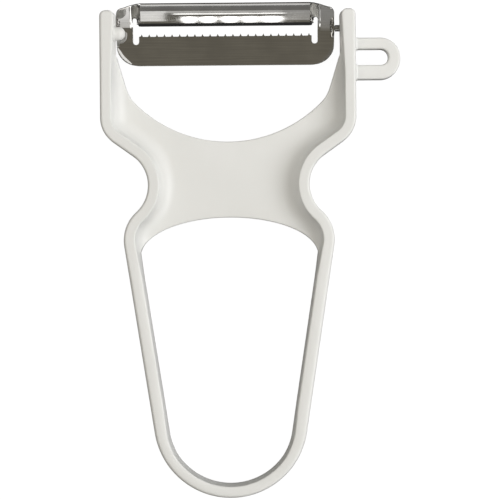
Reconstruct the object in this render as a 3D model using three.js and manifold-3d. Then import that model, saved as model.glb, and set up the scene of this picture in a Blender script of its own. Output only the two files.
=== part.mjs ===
// Julienne peeler: a moulded Y-shaped frame that carries a swivelling stamped blade between its arms.
// Millimetres. X runs across the tool, Y from the butt of the grip up to the blade, and Z up from the
// frame's flat back. The origin is the middle of the butt's back face.

import * as THREE from 'three';
import { mergeVertices } from 'three/addons/utils/BufferGeometryUtils.js';
import Module from 'manifold-3d';

// Rim of the frame: one bar that follows the outline from arm tip to arm tip.
// Its radii and half widths are those of the bar's centre line.
const RIM_WIDTH = 3.75;
const RIM_DEPTH = 12;
const RIM_EDGE = 0.7;
const RIM_DRAFT = 1.2;
const BUTT_RADIUS = 18.2;
const HIP_HALF = 25.6;
const HIP_RADIUS = 8.1;
const WAIST_HALF = 19.2;
const WAIST_RADIUS = 11.3;
const WAIST_HEIGHT = 79.7;
const SHOULDER_RADIUS = 5.95;
const SHOULDER_SLANT = THREE.MathUtils.degToRad(54.5);
const ARM_HALF = 31.5;
const ARM_LENGTH = 28;
const ARM_TIP_ROUND = 1.5;

// Web: the panel across the waist, with the blade's mouth above it and the finger loop below.
const WEB_THICKNESS = 2.5;
const WEB_ABOVE_WAIST = 11.35;
const WEB_BELOW_WAIST = 8.5;
const MOUTH_RISE = 12;
const GUSSET_WIDTH = 3.6;
const GUSSET_DROP = 2.6;
const LOOP_HALF = 23.2;
const LOOP_CROWN = 9.95;

// Eye remover: a flat loop on the outside of the right arm.
const EYE_REACH = 11.7;
const EYE_HEIGHT = 10.9;
const EYE_CORNER = 5.2;
const EYE_SLOT = 4.2;
const EYE_SLOT_RISE = 0.4;
const EYE_STRIP = 3.1;
const EYE_THICKNESS = 5.5;
const EYE_DROP = 8.2;

// Pivots: steel pins riveted in the blade's end flanges, turning in blind holes in the arms.
const PIVOT_DROP = 4.75;
const PIVOT_SETBACK = 0.5;
const PIN_RADIUS = 0.85;
const PIN_REACH = 2.4;
const PIN_NECK_RADIUS = 0.55;
const PIN_HEAD_RADIUS = 1.1;
const PIN_HEAD_THICKNESS = 0.5;
const PIN_SEAT = 0.15;
const BEARING_CLEARANCE = 0.2;
const BEARING_END_GAP = 0.3;

// Stop: a round-ended boss on the left arm that the blade's end flange meets at both ends of its swing.
const STOP_RADIUS = 1.8;
const STOP_LENGTH = 2.9;
const STOP_DROP = 1.3;
const STOP_GAP = 1.1;

// Blade: one pressing, folded at the pivot axis, with a toothed plate below the throat and a ground bar
// above it. Heights are measured up and down from the pivot axis.
const GAUGE = 0.5;
const FOLD = THREE.MathUtils.degToRad(35);
const LEFT_END_PLAY = 0.3;
const RIGHT_END_PLAY = 1.6;
const PLATE_DROP = 9.4;
const PLATE_CORNER = 6.2;
const EAR_RISE = 5.6;
const EAR_WIDTH = 4.3;
const EAR_CORNER = 1.5;
const BAR_RISE = 6.6;
const BAR_SLOPE = 2.9;
const BAR_SETBACK = 1.5;
const BAR_CORNER = 0.8;
const EDGE_RISE = 0.86;
const EDGE_LAND = 0.1;
const GRIND_HEIGHT = 0.95;
const SLOT_WIDTH = 1.8;
const SLOT_RISE = 3;
const SLOT_DROP = 3.8;
const TOOTH_PITCH = 2;
const TOOTH_BASE = 0.9;
const TOOTH_HEIGHT = 1.05;
const TOOTH_DROP = 0.57;
const FLANGE_LIP = 0.6;
const FLANGE_CHAMFER = 0.7;
const HEAD_CLEARANCE = 0.5;

// Fineness of arcs, and how far a cutting shape runs past what it cuts.
const ARC_STEP = THREE.MathUtils.degToRad(11);
const ROUND_SIDES = 20;
const PAST = 2;
const WELD = 1e-5;

const wasm = await Module();
wasm.setup();

// Places worked out from the sizes above.
const armInner = ARM_HALF - RIM_WIDTH / 2;
const armOuter = ARM_HALF + RIM_WIDTH / 2;
const middle = RIM_DEPTH / 2;
const rim = rimCentreLine();
const armTip = rim.at(-1).y;
const pivot = new THREE.Vector3(
  (LEFT_END_PLAY - RIGHT_END_PLAY) / 2, armTip - PIVOT_DROP, middle - PIVOT_SETBACK);
const bladeHalf = armInner - (LEFT_END_PLAY + RIGHT_END_PLAY) / 2;
const slotOuter = bladeHalf - EAR_WIDTH;
const barHalf = slotOuter - SLOT_WIDTH;
const plateFront = -(PIN_HEAD_RADIUS + HEAD_CLEARANCE);
const flangeHole = PIN_NECK_RADIUS + PIN_SEAT;
const flangeFront = flangeHole + FLANGE_LIP;

// Points of an arc about (x, y), from one angle to the other.
function arc(x, y, radius, from, to) {
  const steps = Math.max(2, Math.ceil(Math.abs(to - from) / ARC_STEP));
  return Array.from({ length: steps + 1 }, (_, i) => {
    const angle = from + (to - from) * i / steps;
    return new THREE.Vector2(x + radius * Math.cos(angle), y + radius * Math.sin(angle));
  });
}

function mirrored(points) {
  return points.map((p) => new THREE.Vector2(-p.x, p.y)).reverse();
}

function solid(geometry) {
  const bare = geometry.clone();
  bare.deleteAttribute('normal');
  bare.deleteAttribute('uv');
  const welded = mergeVertices(bare, WELD);
  const index = welded.index.array;
  const corners = [];
  for (let i = 0; i < index.length; i += 3) {
    const [a, b, c] = index.subarray(i, i + 3);
    if (a !== b && b !== c && c !== a) corners.push(a, b, c);
  }
  return new wasm.Manifold(new wasm.Mesh({
    numProp: 3,
    vertProperties: welded.attributes.position.array,
    triVerts: new Uint32Array(corners)
  }));
}

function surface(body) {
  const { vertProperties, triVerts } = body.getMesh();
  const geometry = new THREE.BufferGeometry();
  geometry.setAttribute('position', new THREE.BufferAttribute(vertProperties, 3));
  geometry.setIndex(new THREE.BufferAttribute(triVerts, 1));
  geometry.computeVertexNormals();
  return geometry;
}

// A prism of an outline drawn in X and Y, from one height to another.
function prismZ(points, low, high) {
  const shape = new THREE.Shape(points);
  const geometry = new THREE.ExtrudeGeometry(shape, { depth: high - low, bevelEnabled: false });
  return geometry.translate(0, 0, low);
}

// A prism of an outline drawn in Y and Z, from one X to another.
function prismX(points, low, high) {
  const turn = new THREE.Matrix4().makeBasis(
    new THREE.Vector3(0, 1, 0), new THREE.Vector3(0, 0, 1), new THREE.Vector3(1, 0, 0));
  return prismZ(points, low, high).applyMatrix4(turn);
}

// A turned body along X: each point of the profile is a radius and a distance along X.
function turned(profile) {
  const points = profile.map(([radius, along]) => new THREE.Vector2(radius, along));
  return new THREE.LatheGeometry(points, ROUND_SIDES).rotateZ(-Math.PI / 2);
}

// Centre line of the rim, from the left arm's tip round the butt to the right arm's tip.
function rimCentreLine() {
  const waistX = WAIST_HALF + WAIST_RADIUS;
  const hipX = HIP_HALF - HIP_RADIUS;
  const hipY = WAIST_HEIGHT - Math.sqrt((WAIST_RADIUS + HIP_RADIUS) ** 2 - (waistX - hipX) ** 2);
  const toWaist = Math.atan2(WAIST_HEIGHT - hipY, waistX - hipX);
  const legRun = Math.hypot(hipX, hipY - BUTT_RADIUS);
  const leg = Math.atan2(hipY - BUTT_RADIUS, hipX) - Math.acos((BUTT_RADIUS - HIP_RADIUS) / legRun);
  const slantX = Math.sin(SHOULDER_SLANT);
  const slantY = Math.cos(SHOULDER_SLANT);
  const shoulderX = ARM_HALF - SHOULDER_RADIUS;
  const slantRun = (shoulderX + SHOULDER_RADIUS * slantY - waistX + WAIST_RADIUS * slantY) / slantX;
  const shoulderY = WAIST_HEIGHT + (WAIST_RADIUS + SHOULDER_RADIUS) * slantX + slantRun * slantY;
  const tip = shoulderY + ARM_LENGTH;
  const right = [
    ...arc(0, BUTT_RADIUS, BUTT_RADIUS, -Math.PI / 2, leg),
    ...arc(hipX, hipY, HIP_RADIUS, leg, toWaist),
    ...arc(waistX, WAIST_HEIGHT, WAIST_RADIUS, Math.PI + toWaist, Math.PI - SHOULDER_SLANT).slice(1),
    ...arc(shoulderX, shoulderY, SHOULDER_RADIUS, -SHOULDER_SLANT, 0),
    ...arc(ARM_HALF, tip - ARM_TIP_ROUND, ARM_TIP_ROUND, 0, Math.PI / 2)
      .map((p) => new THREE.Vector2(ARM_HALF, p.y))
  ];
  return [...mirrored(right.slice(1)), ...right];
}

// Section of the rim as [distance outwards, Z]. The outer edges are eased, and the inner wall leans
// back from mid depth to both faces. Near an arm's tip both sides draw in to round it.
function rimSection(drawIn) {
  const side = RIM_WIDTH / 2 - drawIn;
  const face = RIM_WIDTH / 2 - Math.max(drawIn, RIM_EDGE);
  const innerFace = -RIM_WIDTH / 2 + Math.max(drawIn, RIM_DRAFT);
  return [
    [innerFace, 0],
    [face, 0],
    [side, RIM_EDGE],
    [side, RIM_DEPTH - RIM_EDGE],
    [face, RIM_DEPTH],
    [innerFace, RIM_DEPTH],
    [-side, middle]
  ];
}

function rimBar() {
  const rings = rim.map((point, i) => {
    const before = rim[Math.max(i - 1, 0)];
    const after = rim[Math.min(i + 1, rim.length - 1)];
    const along = after.clone().sub(before).normalize();
    const short = Math.max(0, ARM_TIP_ROUND - (armTip - point.y));
    const drawIn = ARM_TIP_ROUND - Math.sqrt(ARM_TIP_ROUND ** 2 - short ** 2);
    return rimSection(drawIn).map(([out, z]) => [point.x + along.y * out, point.y - along.x * out, z]);
  });
  const sides = rings[0].length;
  const corners = [];
  for (let ring = 0; ring + 1 < rings.length; ring += 1) {
    for (let k = 0; k < sides; k += 1) {
      const a = ring * sides + k;
      const b = ring * sides + (k + 1) % sides;
      corners.push(a, a + sides, b + sides, a, b + sides, b);
    }
  }
  const last = (rings.length - 1) * sides;
  for (let k = 1; k + 1 < sides; k += 1) {
    corners.push(0, k, k + 1, last, last + k + 1, last + k);
  }
  const geometry = new THREE.BufferGeometry();
  geometry.setAttribute('position', new THREE.Float32BufferAttribute(rings.flat(2), 3));
  geometry.setIndex(corners);
  return geometry;
}

// The web fills the rim between two free edges: the mouth's arc, which runs up into a tapering gusset
// on each arm, and the crown of the finger loop.
function web() {
  const slab = prismZ(rim, middle - WEB_THICKNESS / 2, middle + WEB_THICKNESS / 2);
  const mouthFloor = WAIST_HEIGHT + WEB_ABOVE_WAIST;
  const mouthHalf = armInner - GUSSET_WIDTH;
  const mouthRadius = (mouthHalf ** 2 + MOUTH_RISE ** 2) / (2 * MOUTH_RISE);
  const sweep = Math.asin(mouthHalf / mouthRadius);
  const gussetTop = pivot.y - PLATE_DROP + PLATE_CORNER - GUSSET_DROP;
  const mouth = [
    ...arc(0, mouthFloor + mouthRadius, mouthRadius, -Math.PI / 2 - sweep, -Math.PI / 2 + sweep),
    new THREE.Vector2(armInner, gussetTop),
    new THREE.Vector2(armInner, armTip + PAST),
    new THREE.Vector2(-armInner, armTip + PAST),
    new THREE.Vector2(-armInner, gussetTop)
  ];
  const loopY = WAIST_HEIGHT - WEB_BELOW_WAIST - LOOP_CROWN;
  const crown = arc(0, 0, LOOP_HALF, 0, Math.PI)
    .map((p) => new THREE.Vector2(p.x, loopY + p.y * LOOP_CROWN / LOOP_HALF));
  const loop = [...crown, new THREE.Vector2(-ARM_HALF, -PAST), new THREE.Vector2(ARM_HALF, -PAST)];
  return solid(slab)
    .subtract(solid(prismZ(mouth, -PAST, RIM_DEPTH + PAST)))
    .subtract(solid(prismZ(loop, -PAST, RIM_DEPTH + PAST)));
}

function eyeRemover() {
  const y = pivot.y - EYE_DROP;
  const nose = armOuter + EYE_REACH;
  const corner = EYE_HEIGHT / 2 - EYE_CORNER;
  const slotX = nose - EYE_STRIP - EYE_SLOT / 2;
  const slotY = y + EYE_SLOT_RISE;
  const outline = [
    new THREE.Vector2(ARM_HALF, y - EYE_HEIGHT / 2),
    ...arc(nose - EYE_CORNER, y - corner, EYE_CORNER, -Math.PI / 2, 0),
    ...arc(nose - EYE_CORNER, y + corner, EYE_CORNER, 0, Math.PI / 2),
    new THREE.Vector2(ARM_HALF, y + EYE_HEIGHT / 2),
    new THREE.Vector2(ARM_HALF, slotY + EYE_SLOT / 2),
    ...arc(slotX, slotY, EYE_SLOT / 2, Math.PI / 2, -Math.PI / 2),
    new THREE.Vector2(ARM_HALF, slotY - EYE_SLOT / 2)
  ];
  return solid(prismZ(outline, middle - EYE_THICKNESS / 2, middle + EYE_THICKNESS / 2));
}

function stopBoss() {
  const end = -armInner + STOP_LENGTH;
  const dome = arc(0, end - STOP_RADIUS, STOP_RADIUS, 0, Math.PI / 2).map((p) => [p.x, p.y]);
  const forward = flangeFront + STOP_GAP + STOP_RADIUS;
  return solid(turned([[0, -ARM_HALF], [STOP_RADIUS, -ARM_HALF], ...dome])
    .translate(0, pivot.y - STOP_DROP, pivot.z + forward));
}

function bearingHole(side) {
  const radius = PIN_RADIUS + BEARING_CLEARANCE;
  const floor = bladeHalf + (side < 0 ? LEFT_END_PLAY : RIGHT_END_PLAY) + PIN_REACH + BEARING_END_GAP;
  const inner = bladeHalf;
  const profile = [[0, inner], [radius, inner], [radius, floor], [0, floor]];
  return solid(turned(profile).rotateZ(side < 0 ? Math.PI : 0).translate(pivot.x, pivot.y, pivot.z));
}

function handleFrame() {
  return surface(solid(rimBar())
    .add(web())
    .add(eyeRemover())
    .add(stopBoss())
    .subtract(bearingHole(-1))
    .subtract(bearingHole(1)));
}

// Height of the blade's front face above the pivot axis. The plate lies flat behind the axis, the ears
// and the bar lean forward from the fold, and the bar is set back from the ears.
function bladeHeight(x, y) {
  const { clamp } = THREE.MathUtils;
  const across = clamp((barHalf + BAR_SLOPE - Math.abs(x)) / BAR_SLOPE, 0, 1);
  const above = clamp((y + TOOTH_DROP) / (EDGE_RISE + TOOTH_DROP), 0, 1);
  return plateFront + Math.max(0, y) * Math.tan(FOLD) - BAR_SETBACK / Math.cos(FOLD) * across * above;
}

// Thickness of the sheet along Z.
function bladeDepth(y) {
  return y > 0 ? GAUGE / Math.cos(FOLD) : GAUGE;
}

// The pressed sheet before its outline is cut: front and back faces on one grid.
function formedSheet() {
  const slopeEnd = barHalf + BAR_SLOPE;
  const xs = [-bladeHalf, -slopeEnd, -barHalf, barHalf, slopeEnd, bladeHalf];
  const ys = [-PLATE_DROP, -TOOTH_DROP, 0, EDGE_RISE, BAR_RISE];
  const columns = xs.length;
  const count = columns * ys.length;
  const faces = [0, 1].map((side) =>
    ys.map((y) => xs.map((x) => [x, y, bladeHeight(x, y) - side * bladeDepth(y)])));
  const corners = [];
  const quad = (a, b, c, d) => corners.push(a, b, c, a, c, d);
  for (let row = 0; row + 1 < ys.length; row += 1) {
    for (let column = 0; column + 1 < columns; column += 1) {
      const a = row * columns + column;
      const d = a + columns;
      quad(a, a + 1, d + 1, d);
      corners.push(count + a, count + d + 1, count + a + 1, count + a, count + d, count + d + 1);
    }
  }
  for (let row = 0; row + 1 < ys.length; row += 1) {
    const left = row * columns;
    const right = left + columns - 1;
    quad(left, left + columns, count + left + columns, count + left);
    quad(right + columns, right, count + right, count + right + columns);
  }
  for (let column = 0; column + 1 < columns; column += 1) {
    const top = (ys.length - 1) * columns + column;
    quad(column + 1, column, count + column, count + column + 1);
    quad(top, top + 1, count + top + 1, count + top);
  }
  const geometry = new THREE.BufferGeometry();
  geometry.setAttribute('position', new THREE.Float32BufferAttribute(faces.flat(3), 3));
  geometry.setIndex(corners);
  return geometry;
}

// Outline of the blank: round lower corners, and ears that step down from the bar's upper edge.
function blankOutline() {
  const cornerX = bladeHalf - PLATE_CORNER;
  const earX = bladeHalf - EAR_CORNER;
  const right = [
    ...arc(cornerX, PLATE_CORNER - PLATE_DROP, PLATE_CORNER, -Math.PI / 2, 0),
    ...arc(earX, EAR_RISE - EAR_CORNER, EAR_CORNER, 0, Math.PI / 2),
    new THREE.Vector2(barHalf, BAR_RISE)
  ];
  return [...right, ...mirrored(right)];
}

// The opening: a row of thorn-shaped teeth below, the cutting edge above and a relief slot at each end.
function throat() {
  const slotMiddle = barHalf + SLOT_WIDTH / 2;
  const slotRadius = SLOT_WIDTH / 2;
  const count = Math.floor((2 * barHalf - TOOTH_BASE) / TOOTH_PITCH) + 1;
  const first = -(count - 1) / 2 * TOOTH_PITCH;
  const teeth = Array.from({ length: count }, (_, i) => first + i * TOOTH_PITCH);
  const root = -TOOTH_DROP - TOOTH_HEIGHT;
  const half = TOOTH_BASE / 2;
  const thorn = (x) => [-1, -1 / 3, 0, 1 / 3, 1].map((share) =>
    new THREE.Vector2(x + share * half, root + TOOTH_HEIGHT * (1 - Math.abs(share)) ** 2));
  const comb = teeth.flatMap(thorn);
  const rightSlot = [
    new THREE.Vector2(barHalf, root),
    ...arc(slotMiddle, slotRadius - SLOT_DROP, slotRadius, -Math.PI, 0),
    ...arc(slotMiddle, SLOT_RISE - slotRadius, slotRadius, 0, Math.PI),
    ...arc(barHalf - BAR_CORNER, EDGE_RISE + BAR_CORNER, BAR_CORNER, 0, -Math.PI / 2)
  ];
  return [...comb, ...rightSlot, ...mirrored(rightSlot)];
}

// The wedge that the grinding wheel takes off the front of the bar along its lower edge.
function grindingCut() {
  const edge = bladeHeight(0, EDGE_RISE) - bladeDepth(EDGE_RISE) + EDGE_LAND;
  const end = EDGE_RISE + GRIND_HEIGHT;
  const front = bladeHeight(0, end);
  const points = [
    new THREE.Vector2(EDGE_RISE, edge),
    new THREE.Vector2(end, front),
    new THREE.Vector2(end, front + GAUGE),
    new THREE.Vector2(EDGE_RISE - EDGE_LAND, front + GAUGE),
    new THREE.Vector2(EDGE_RISE - EDGE_LAND, edge)
  ];
  return solid(prismX(points, -slotOuter + SLOT_WIDTH / 2, slotOuter - SLOT_WIDTH / 2));
}

// End flange: the ear's edge turned forward, with the hole that the pin is riveted in. It ends where the
// leaning ear comes level with its front.
function endFlange(side) {
  const low = PLATE_CORNER - PLATE_DROP;
  const level = (flangeFront - plateFront) / Math.tan(FOLD);
  const high = Math.min(EAR_RISE - EAR_CORNER, level);
  const points = [
    new THREE.Vector2(low, plateFront - GAUGE),
    new THREE.Vector2(0, plateFront - GAUGE),
    new THREE.Vector2(high, bladeHeight(bladeHalf, high) - bladeDepth(high)),
    new THREE.Vector2(high, flangeFront),
    new THREE.Vector2(low + FLANGE_CHAMFER, flangeFront),
    new THREE.Vector2(low, flangeFront - FLANGE_CHAMFER)
  ];
  const inner = side < 0 ? -bladeHalf : bladeHalf - GAUGE;
  const start = inner - PAST;
  const end = inner + GAUGE + PAST;
  const hole = turned([[0, start], [flangeHole, start], [flangeHole, end], [0, end]]);
  return solid(prismX(points, inner, inner + GAUGE)).subtract(solid(hole));
}

function bladePressing() {
  const low = bladeHeight(0, EDGE_RISE) - bladeDepth(EDGE_RISE) - PAST;
  const high = bladeHeight(bladeHalf, BAR_RISE) + PAST;
  return surface(solid(formedSheet())
    .intersect(solid(prismZ(blankOutline(), low, high)))
    .subtract(solid(prismZ(throat(), low, high)))
    .subtract(grindingCut())
    .add(endFlange(-1))
    .add(endFlange(1)));
}

// Pivot pin: a head inside the flange, a neck through it and a journal in the arm's hole.
function pivotPin(side) {
  const play = side < 0 ? LEFT_END_PLAY : RIGHT_END_PLAY;
  const inside = bladeHalf - GAUGE - PIN_SEAT;
  const outside = bladeHalf + PIN_SEAT;
  const end = bladeHalf + play + PIN_REACH;
  const profile = [
    [0, inside - PIN_HEAD_THICKNESS],
    [PIN_HEAD_RADIUS, inside - PIN_HEAD_THICKNESS],
    [PIN_HEAD_RADIUS, inside],
    [PIN_NECK_RADIUS, inside],
    [PIN_NECK_RADIUS, outside],
    [PIN_RADIUS, outside],
    [PIN_RADIUS, end],
    [0, end]
  ];
  return turned(profile).rotateZ(side < 0 ? Math.PI : 0);
}

function named(name, geometry, look) {
  const mesh = new THREE.Mesh(geometry, new THREE.MeshStandardMaterial(look));
  mesh.name = name;
  return mesh;
}

const peeler = new THREE.Group();
peeler.add(named('handle_frame', handleFrame(), { color: 0xe2e2de, roughness: 0.45, metalness: 0 }));

const swivel = new THREE.Group();
swivel.position.copy(pivot);
swivel.add(named('blade', bladePressing(), { color: 0x8b8880, roughness: 0.3, metalness: 1 }));
swivel.add(named('left_pivot_pin', pivotPin(-1), { color: 0x77756f, roughness: 0.35, metalness: 1 }));
swivel.add(named('right_pivot_pin', pivotPin(1), { color: 0x77756f, roughness: 0.35, metalness: 1 }));
peeler.add(swivel);

export default peeler;
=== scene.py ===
import math

import bmesh
import bpy
import numpy as np
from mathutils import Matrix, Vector
from mathutils.geometry import delaunay_2d_cdt


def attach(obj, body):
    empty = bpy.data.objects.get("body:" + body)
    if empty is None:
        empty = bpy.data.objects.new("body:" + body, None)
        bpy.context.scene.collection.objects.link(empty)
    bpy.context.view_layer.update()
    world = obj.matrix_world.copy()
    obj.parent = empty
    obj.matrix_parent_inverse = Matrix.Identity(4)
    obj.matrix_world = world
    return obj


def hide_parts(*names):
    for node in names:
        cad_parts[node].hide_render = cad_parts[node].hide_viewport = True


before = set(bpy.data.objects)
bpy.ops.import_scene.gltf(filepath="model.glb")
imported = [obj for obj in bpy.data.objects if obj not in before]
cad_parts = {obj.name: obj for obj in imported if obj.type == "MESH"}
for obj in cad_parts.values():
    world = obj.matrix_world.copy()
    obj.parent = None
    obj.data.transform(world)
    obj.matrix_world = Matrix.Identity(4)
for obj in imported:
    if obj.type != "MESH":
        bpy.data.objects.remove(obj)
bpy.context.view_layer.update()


# Handle frame.
# One white plastic injection moulding: a deep rim bent round grip, waist and arms, and a thin web that runs
# up into the rim in a broad hollow. The eye remover and the blade's stop are moulded on with it.

MM = 0.001
HALF_DEPTH = 6.0
RIM_WIDTH = 3.75
RIM_HALF = RIM_WIDTH / 2
OUTER_ROUND = 0.75
OUTER_STEPS = 8
PARTING_RIDGE = 0.04
PARTING_HALF = 0.1
SIDE_SHARES = (0.3, 0.6, 0.85)
FACE_WIDTH = 2.9
FACE_POINTS = (1.1, 1.45, 1.8, 2.1)
FACE_ROUND = 0.4
FACE_STEPS = 6
TIP_WIDENING = 0.7
TIP_START = 109.0
WIDENING_FADE = 14.0
LEG_WIDENING = 0.42
LEG_SLIMMING = 0.25
LEG_CROWN = 0.22
LEG_TOP = 65.0
LEG_FADE = 10.0
BUTT_SLIMMING = 0.5
BUTT_TOP = 22.0
WALL_DRAFT = 0.22
WALL_STRAIGHT = 2.0
WALL_STEPS = 8
WEB_HALF = 1.25
HOLLOW_RADIUS = 4.5
HOLLOW_STEPS = 16
FREE_EDGE_ROUND = 0.4
FREE_EDGE_SHARE = 0.6
FREE_EDGE_STEPS = 4

BUTT_RADIUS = 18.2
HIP_HALF = 25.6
HIP_RADIUS = 8.1
WAIST_HALF = 19.2
WAIST_RADIUS = 11.3
WAIST_HEIGHT = 79.7
SHOULDER_RADIUS = 5.95
SHOULDER_SLANT = math.radians(54.5)
ARM_HALF = 31.5
ARM_LENGTH = 28.0
TIP_ROUND = 1.55
ARM_INNER = ARM_HALF - RIM_HALF
ARM_OUTER = ARM_HALF + RIM_HALF

MOUTH_FLOOR = 91.05
MOUTH_HALF = 26.025
MOUTH_RISE = 12.0
GUSSET_TOP = 114.808
MOUTH_CORNER = 0.9
LOOP_HALF = 23.2
LOOP_CROWN = 9.95
LOOP_BELOW_WAIST = 8.5
LOOP_MIDDLE = WAIST_HEIGHT - LOOP_BELOW_WAIST - LOOP_CROWN
LOOP_FOOT = -2.0

PIVOT = Vector((-0.65, 120.608, 5.5))
HALVINGS = 50
TINY = 1e-9


def clamp(value):
    return min(max(value, 0.0), 1.0)


def quarter(steps):
    """The angles of a quarter turn in that many steps."""
    return np.linspace(0, math.pi / 2, steps + 1)


def halved(low, high, stays_low):
    """Closes in on where a test changes between two places, and gives the places on both sides of it."""
    for _ in range(HALVINGS):
        middle = (low + high) / 2
        low, high = (middle, high) if stays_low(middle) else (low, middle)
    return low, high


def unit(angle):
    return np.array([math.cos(angle), math.sin(angle)])


class RimLine:
    """Centre line of the rim's right half, from the middle of the butt to the arm's tip."""

    def __init__(self):
        waist = np.array([WAIST_HALF + WAIST_RADIUS, WAIST_HEIGHT])
        hip_x = HIP_HALF - HIP_RADIUS
        hip_y = WAIST_HEIGHT - math.sqrt((WAIST_RADIUS + HIP_RADIUS) ** 2 - (waist[0] - hip_x) ** 2)
        to_waist = math.atan2(WAIST_HEIGHT - hip_y, waist[0] - hip_x)
        leg_run = math.hypot(hip_x, hip_y - BUTT_RADIUS)
        leg = math.atan2(hip_y - BUTT_RADIUS, hip_x) - math.acos((BUTT_RADIUS - HIP_RADIUS) / leg_run)
        sin_slant, cos_slant = math.sin(SHOULDER_SLANT), math.cos(SHOULDER_SLANT)
        shoulder_x = ARM_HALF - SHOULDER_RADIUS
        run = (shoulder_x + (SHOULDER_RADIUS + WAIST_RADIUS) * cos_slant - waist[0]) / sin_slant
        shoulder_y = WAIST_HEIGHT + (WAIST_RADIUS + SHOULDER_RADIUS) * sin_slant + run * cos_slant
        butt = np.array([0.0, BUTT_RADIUS])
        hip = np.array([hip_x, hip_y])
        shoulder = np.array([shoulder_x, shoulder_y])
        self.tip = shoulder_y + ARM_LENGTH
        self.parts = []
        self.length = 0.0
        self.add_arc(butt, BUTT_RADIUS, -math.pi / 2, leg, 1)
        self.add_line(leg, butt + BUTT_RADIUS * unit(leg), hip + HIP_RADIUS * unit(leg))
        self.add_arc(hip, HIP_RADIUS, leg, to_waist, 1)
        self.add_arc(waist, WAIST_RADIUS, math.pi + to_waist, math.pi - SHOULDER_SLANT, -1)
        self.add_line(-SHOULDER_SLANT, waist + WAIST_RADIUS * unit(math.pi - SHOULDER_SLANT),
                      shoulder + SHOULDER_RADIUS * unit(-SHOULDER_SLANT))
        self.add_arc(shoulder, SHOULDER_RADIUS, -SHOULDER_SLANT, 0.0, 1)
        self.add_line(0.0, shoulder + SHOULDER_RADIUS * unit(0.0), np.array([ARM_HALF, self.tip]))

    def add_arc(self, centre, radius, start, end, side):
        length = radius * abs(end - start)
        self.parts.append((self.length, length, lambda t: (
            centre + radius * unit(start + (end - start) * t), side * unit(start + (end - start) * t))))
        self.length += length

    def add_line(self, facing, start, end):
        length = float(np.hypot(*(end - start)))
        self.parts.append((self.length, length, lambda t: (start + (end - start) * t, unit(facing))))
        self.length += length

    def at(self, along):
        """The point of the centre line that far along it, and the direction outwards there."""
        for start, length, place in self.parts:
            if along <= start + length + TINY:
                return place(clamp((along - start) / length))
        return self.parts[-1][2](1.0)


def mouth_inside(x, y):
    """Above zero in the blade's mouth: the arc below, and the gussets' slanting edges at the arms."""
    radius = (MOUTH_HALF ** 2 + MOUTH_RISE ** 2) / (2 * MOUTH_RISE)
    lean = (ARM_INNER - MOUTH_HALF) / (GUSSET_TOP - MOUTH_FLOOR - MOUTH_RISE)
    in_arc = radius - math.hypot(x, y - MOUTH_FLOOR - radius)
    in_gusset = (MOUTH_HALF + (y - MOUTH_FLOOR - MOUTH_RISE) * lean - abs(x)) / math.hypot(1.0, lean)
    near = max(0.0, MOUTH_CORNER - abs(in_arc - in_gusset)) / MOUTH_CORNER
    return min(in_arc, in_gusset) - near * near * MOUTH_CORNER / 4


def loop_inside(x, y):
    """Above zero in the finger loop: under the crown's half ellipse, and between the legs below it."""
    if y >= LOOP_MIDDLE:
        return LOOP_CROWN * (1.0 - math.hypot(x / LOOP_HALF, (y - LOOP_MIDDLE) / LOOP_CROWN))
    return LOOP_HALF + (LOOP_MIDDLE - y) * (ARM_HALF - LOOP_HALF) / (LOOP_MIDDLE - LOOP_FOOT) - abs(x)


def opening(x, y):
    return max(mouth_inside(x, y), loop_inside(x, y))


def opening_slope(x, y):
    step = 1e-4
    return np.array([opening(x + step, y) - opening(x - step, y),
                     opening(x, y + step) - opening(x, y - step)]) / (2 * step)


def into_web(x, y):
    """Direction from the web's free edge into the web."""
    slope = opening_slope(x, y)
    return -slope / np.hypot(*slope)


def past_flat(x, y):
    """Above zero where the web's face has begun to round over into its free edge."""
    return opening(x, y) / np.hypot(*opening_slope(x, y)) + FREE_EDGE_ROUND


DRAFT_ANGLE = math.atan(WALL_DRAFT)
HOLLOW_TOP = WEB_HALF + HOLLOW_RADIUS * (1 - math.sin(DRAFT_ANGLE))
HOLLOW_START = FACE_WIDTH + (HALF_DEPTH - HOLLOW_TOP) * WALL_DRAFT
HOLLOW_END = HOLLOW_START + HOLLOW_RADIUS * math.cos(DRAFT_ANGLE)


def wall_depth(height):
    """Distance of the bare inner wall from the rim's outside. It ends upright at mid depth."""
    straight = FACE_WIDTH + (HALF_DEPTH - max(height, WALL_STRAIGHT)) * WALL_DRAFT
    short = max(0.0, WALL_STRAIGHT - height)
    return straight + WALL_DRAFT * (short - short * short / (2 * WALL_STRAIGHT))


RIDGE_DEPTH = wall_depth(0.0)


def wall_height(depth):
    return halved(0.0, HALF_DEPTH, lambda height: wall_depth(height) > depth)[0]


def hollow_height(depth):
    reach = min(max(HOLLOW_END - depth, 0.0), HOLLOW_RADIUS)
    return WEB_HALF + HOLLOW_RADIUS - math.sqrt(HOLLOW_RADIUS ** 2 - reach ** 2)


def by_butt(y):
    """From 0 on the legs to 1 round the butt."""
    return clamp((BUTT_TOP - y) / WIDENING_FADE)


def on_legs(y):
    """From 0 at the waist to 1 on the legs and the butt."""
    return clamp((LEG_TOP - y) / LEG_FADE)


def widening(y):
    """How much wider the front face is there: the inner wall stands up along the legs and near the tips."""
    tip = clamp((y - TIP_START) / WIDENING_FADE)
    return TIP_WIDENING * tip + LEG_WIDENING * on_legs(y) * (1.0 - by_butt(y))


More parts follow.
